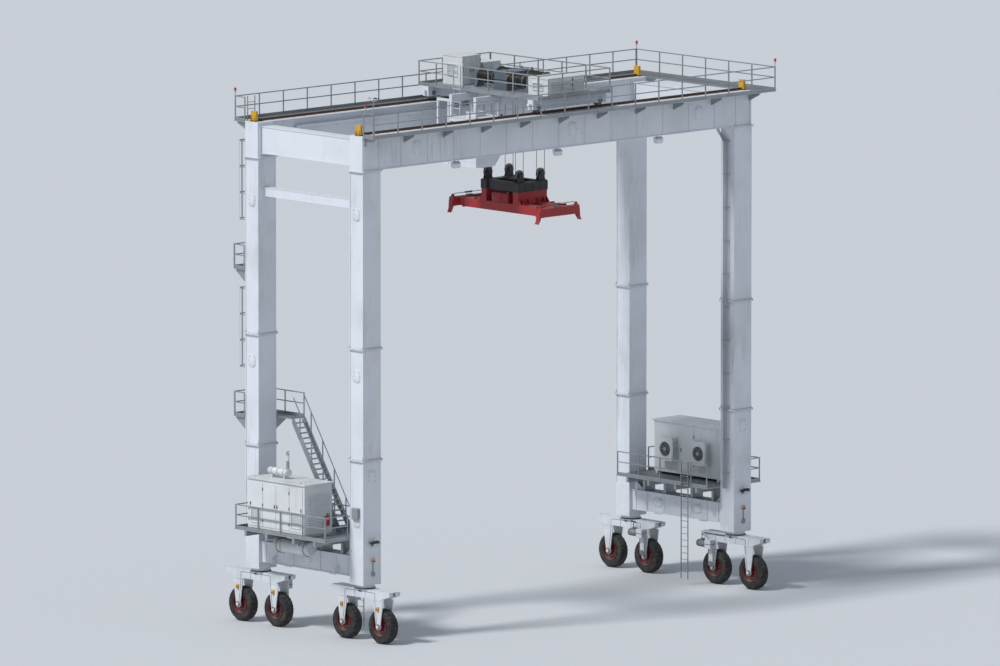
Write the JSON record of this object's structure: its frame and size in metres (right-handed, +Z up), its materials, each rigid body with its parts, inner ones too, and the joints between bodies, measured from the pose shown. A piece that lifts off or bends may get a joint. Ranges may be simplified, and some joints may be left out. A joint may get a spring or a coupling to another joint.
{
  "type": "rubber tyred gantry crane",
  "caption": "Straddle crane on rubber-tyred steering bogies, with a travelling trolley, driver's cab, rope hoist and telescopic container spreader.",
  "frame": {"origin": "on the ground, at the centre of the four legs", "axes": "+X across the span, from the generator side towards the electrical house side; +Y along the travel direction, from front to rear; +Z up"},
  "size_m": [27.6, 11.15, 25.3],
  "materials": {
    "white_paint": "satin",
    "red_paint": "satin",
    "dark_paint": "matte",
    "machine_grey": "satin",
    "wire_rope": "greased",
    "glass": "tinted",
    "rail_steel": "worn",
    "galvanised": "galvanised",
    "tyre": "matte"
  },
  "bodies": {
    "gantry": {"leg_front_left": "white_paint", "leg_rear_left": "white_paint", "leg_front_right": "white_paint", "leg_rear_right": "white_paint", "sill_beam_left": "white_paint", "sill_beam_right": "white_paint", "girder_front": "white_paint", "girder_rear": "white_paint", "trolley_rails": "rail_steel", "portal_ties": "white_paint", "girder_walkways": "galvanised", "girder_handrails": "galvanised", "platform_left": "galvanised", "platform_right": "galvanised", "platform_handrails": "galvanised", "generator_house": "white_paint", "electrical_house": "white_paint", "access_stair": "galvanised", "ladder_landings": "galvanised", "access_ladders": "galvanised"},
    "trolley": {"trolley_frame": "white_paint", "trolley_wheels": "rail_steel", "trolley_deck": "galvanised", "hoist_winch": "machine_grey", "trolley_cabinets": "white_paint", "cab_hanger": "white_paint", "cab_shell": "white_paint", "cab_glass": "glass", "hoist_ropes": "wire_rope"},
    "hoist": {"headblock": "dark_paint", "spreader_frame": "red_paint"},
    "spreader_front": {"spreader_beam_front": "red_paint"},
    "spreader_rear": {"spreader_beam_rear": "red_paint"},
    "bogie_front_left": {"bogie_front_left": "white_paint"},
    "wheel_front_left_1": {"wheel_front_left_1": "tyre"},
    "wheel_front_left_2": {"wheel_front_left_2": "tyre"},
    "bogie_rear_left": {"bogie_rear_left": "white_paint"},
    "wheel_rear_left_1": {"wheel_rear_left_1": "tyre"},
    "wheel_rear_left_2": {"wheel_rear_left_2": "tyre"},
    "bogie_front_right": {"bogie_front_right": "white_paint"},
    "wheel_front_right_1": {"wheel_front_right_1": "tyre"},
    "wheel_front_right_2": {"wheel_front_right_2": "tyre"},
    "bogie_rear_right": {"bogie_rear_right": "white_paint"},
    "wheel_rear_right_1": {"wheel_rear_right_1": "tyre"},
    "wheel_rear_right_2": {"wheel_rear_right_2": "tyre"}
  },
  "joints": [
    {"name": "trolley_travel", "type": "slide", "parent": "gantry", "child": "trolley", "axis": [1, 0, 0], "range_m": [-8.8, 7.4]},
    {"name": "hoist_lift", "type": "slide", "parent": "trolley", "child": "hoist", "axis": [0, 0, 1], "range_m": [-17, 0], "deforming": ["hoist_ropes"]},
    {"name": "spreader_extend_front", "type": "slide", "parent": "hoist", "child": "spreader_front", "axis": [0, -1, 0], "range_m": [0, 3.066]},
    {"name": "spreader_extend_rear", "type": "slide", "parent": "hoist", "child": "spreader_rear", "axis": [0, 1, 0], "range_m": [0, 3.066]},
    {"name": "swivel_front_left", "type": "hinge", "parent": "gantry", "child": "bogie_front_left", "pos_m": [-11.735, -3.5, 2.5], "axis": [0, 0, 1], "range_deg": [0, 90]},
    {"name": "swivel_rear_left", "type": "hinge", "parent": "gantry", "child": "bogie_rear_left", "pos_m": [-11.735, 3.5, 2.5], "axis": [0, 0, 1], "range_deg": [0, 90]},
    {"name": "swivel_front_right", "type": "hinge", "parent": "gantry", "child": "bogie_front_right", "pos_m": [11.735, -3.5, 2.5], "axis": [0, 0, 1], "range_deg": [0, 90]},
    {"name": "swivel_rear_right", "type": "hinge", "parent": "gantry", "child": "bogie_rear_right", "pos_m": [11.735, 3.5, 2.5], "axis": [0, 0, 1], "range_deg": [0, 90]},
    {"name": "roll_front_left_1", "type": "hinge", "parent": "bogie_front_left", "child": "wheel_front_left_1", "pos_m": [-11.735, -4.7, 0.807], "axis": [1, 0, 0], "continuous": true},
    {"name": "roll_front_left_2", "type": "hinge", "parent": "bogie_front_left", "child": "wheel_front_left_2", "pos_m": [-11.735, -2.3, 0.807], "axis": [1, 0, 0], "continuous": true},
    {"name": "roll_rear_left_1", "type": "hinge", "parent": "bogie_rear_left", "child": "wheel_rear_left_1", "pos_m": [-11.735, 2.3, 0.807], "axis": [1, 0, 0], "continuous": true},
    {"name": "roll_rear_left_2", "type": "hinge", "parent": "bogie_rear_left", "child": "wheel_rear_left_2", "pos_m": [-11.735, 4.7, 0.807], "axis": [1, 0, 0], "continuous": true},
    {"name": "roll_front_right_1", "type": "hinge", "parent": "bogie_front_right", "child": "wheel_front_right_1", "pos_m": [11.735, -4.7, 0.807], "axis": [1, 0, 0], "continuous": true},
    {"name": "roll_front_right_2", "type": "hinge", "parent": "bogie_front_right", "child": "wheel_front_right_2", "pos_m": [11.735, -2.3, 0.807], "axis": [1, 0, 0], "continuous": true},
    {"name": "roll_rear_right_1", "type": "hinge", "parent": "bogie_rear_right", "child": "wheel_rear_right_1", "pos_m": [11.735, 2.3, 0.807], "axis": [1, 0, 0], "continuous": true},
    {"name": "roll_rear_right_2", "type": "hinge", "parent": "bogie_rear_right", "child": "wheel_rear_right_2", "pos_m": [11.735, 4.7, 0.807], "axis": [1, 0, 0], "continuous": true}
  ],
  "couplings": [
    {"joint": "spreader_extend_rear", "follows": "spreader_extend_front", "ratio": 1}
  ]
}
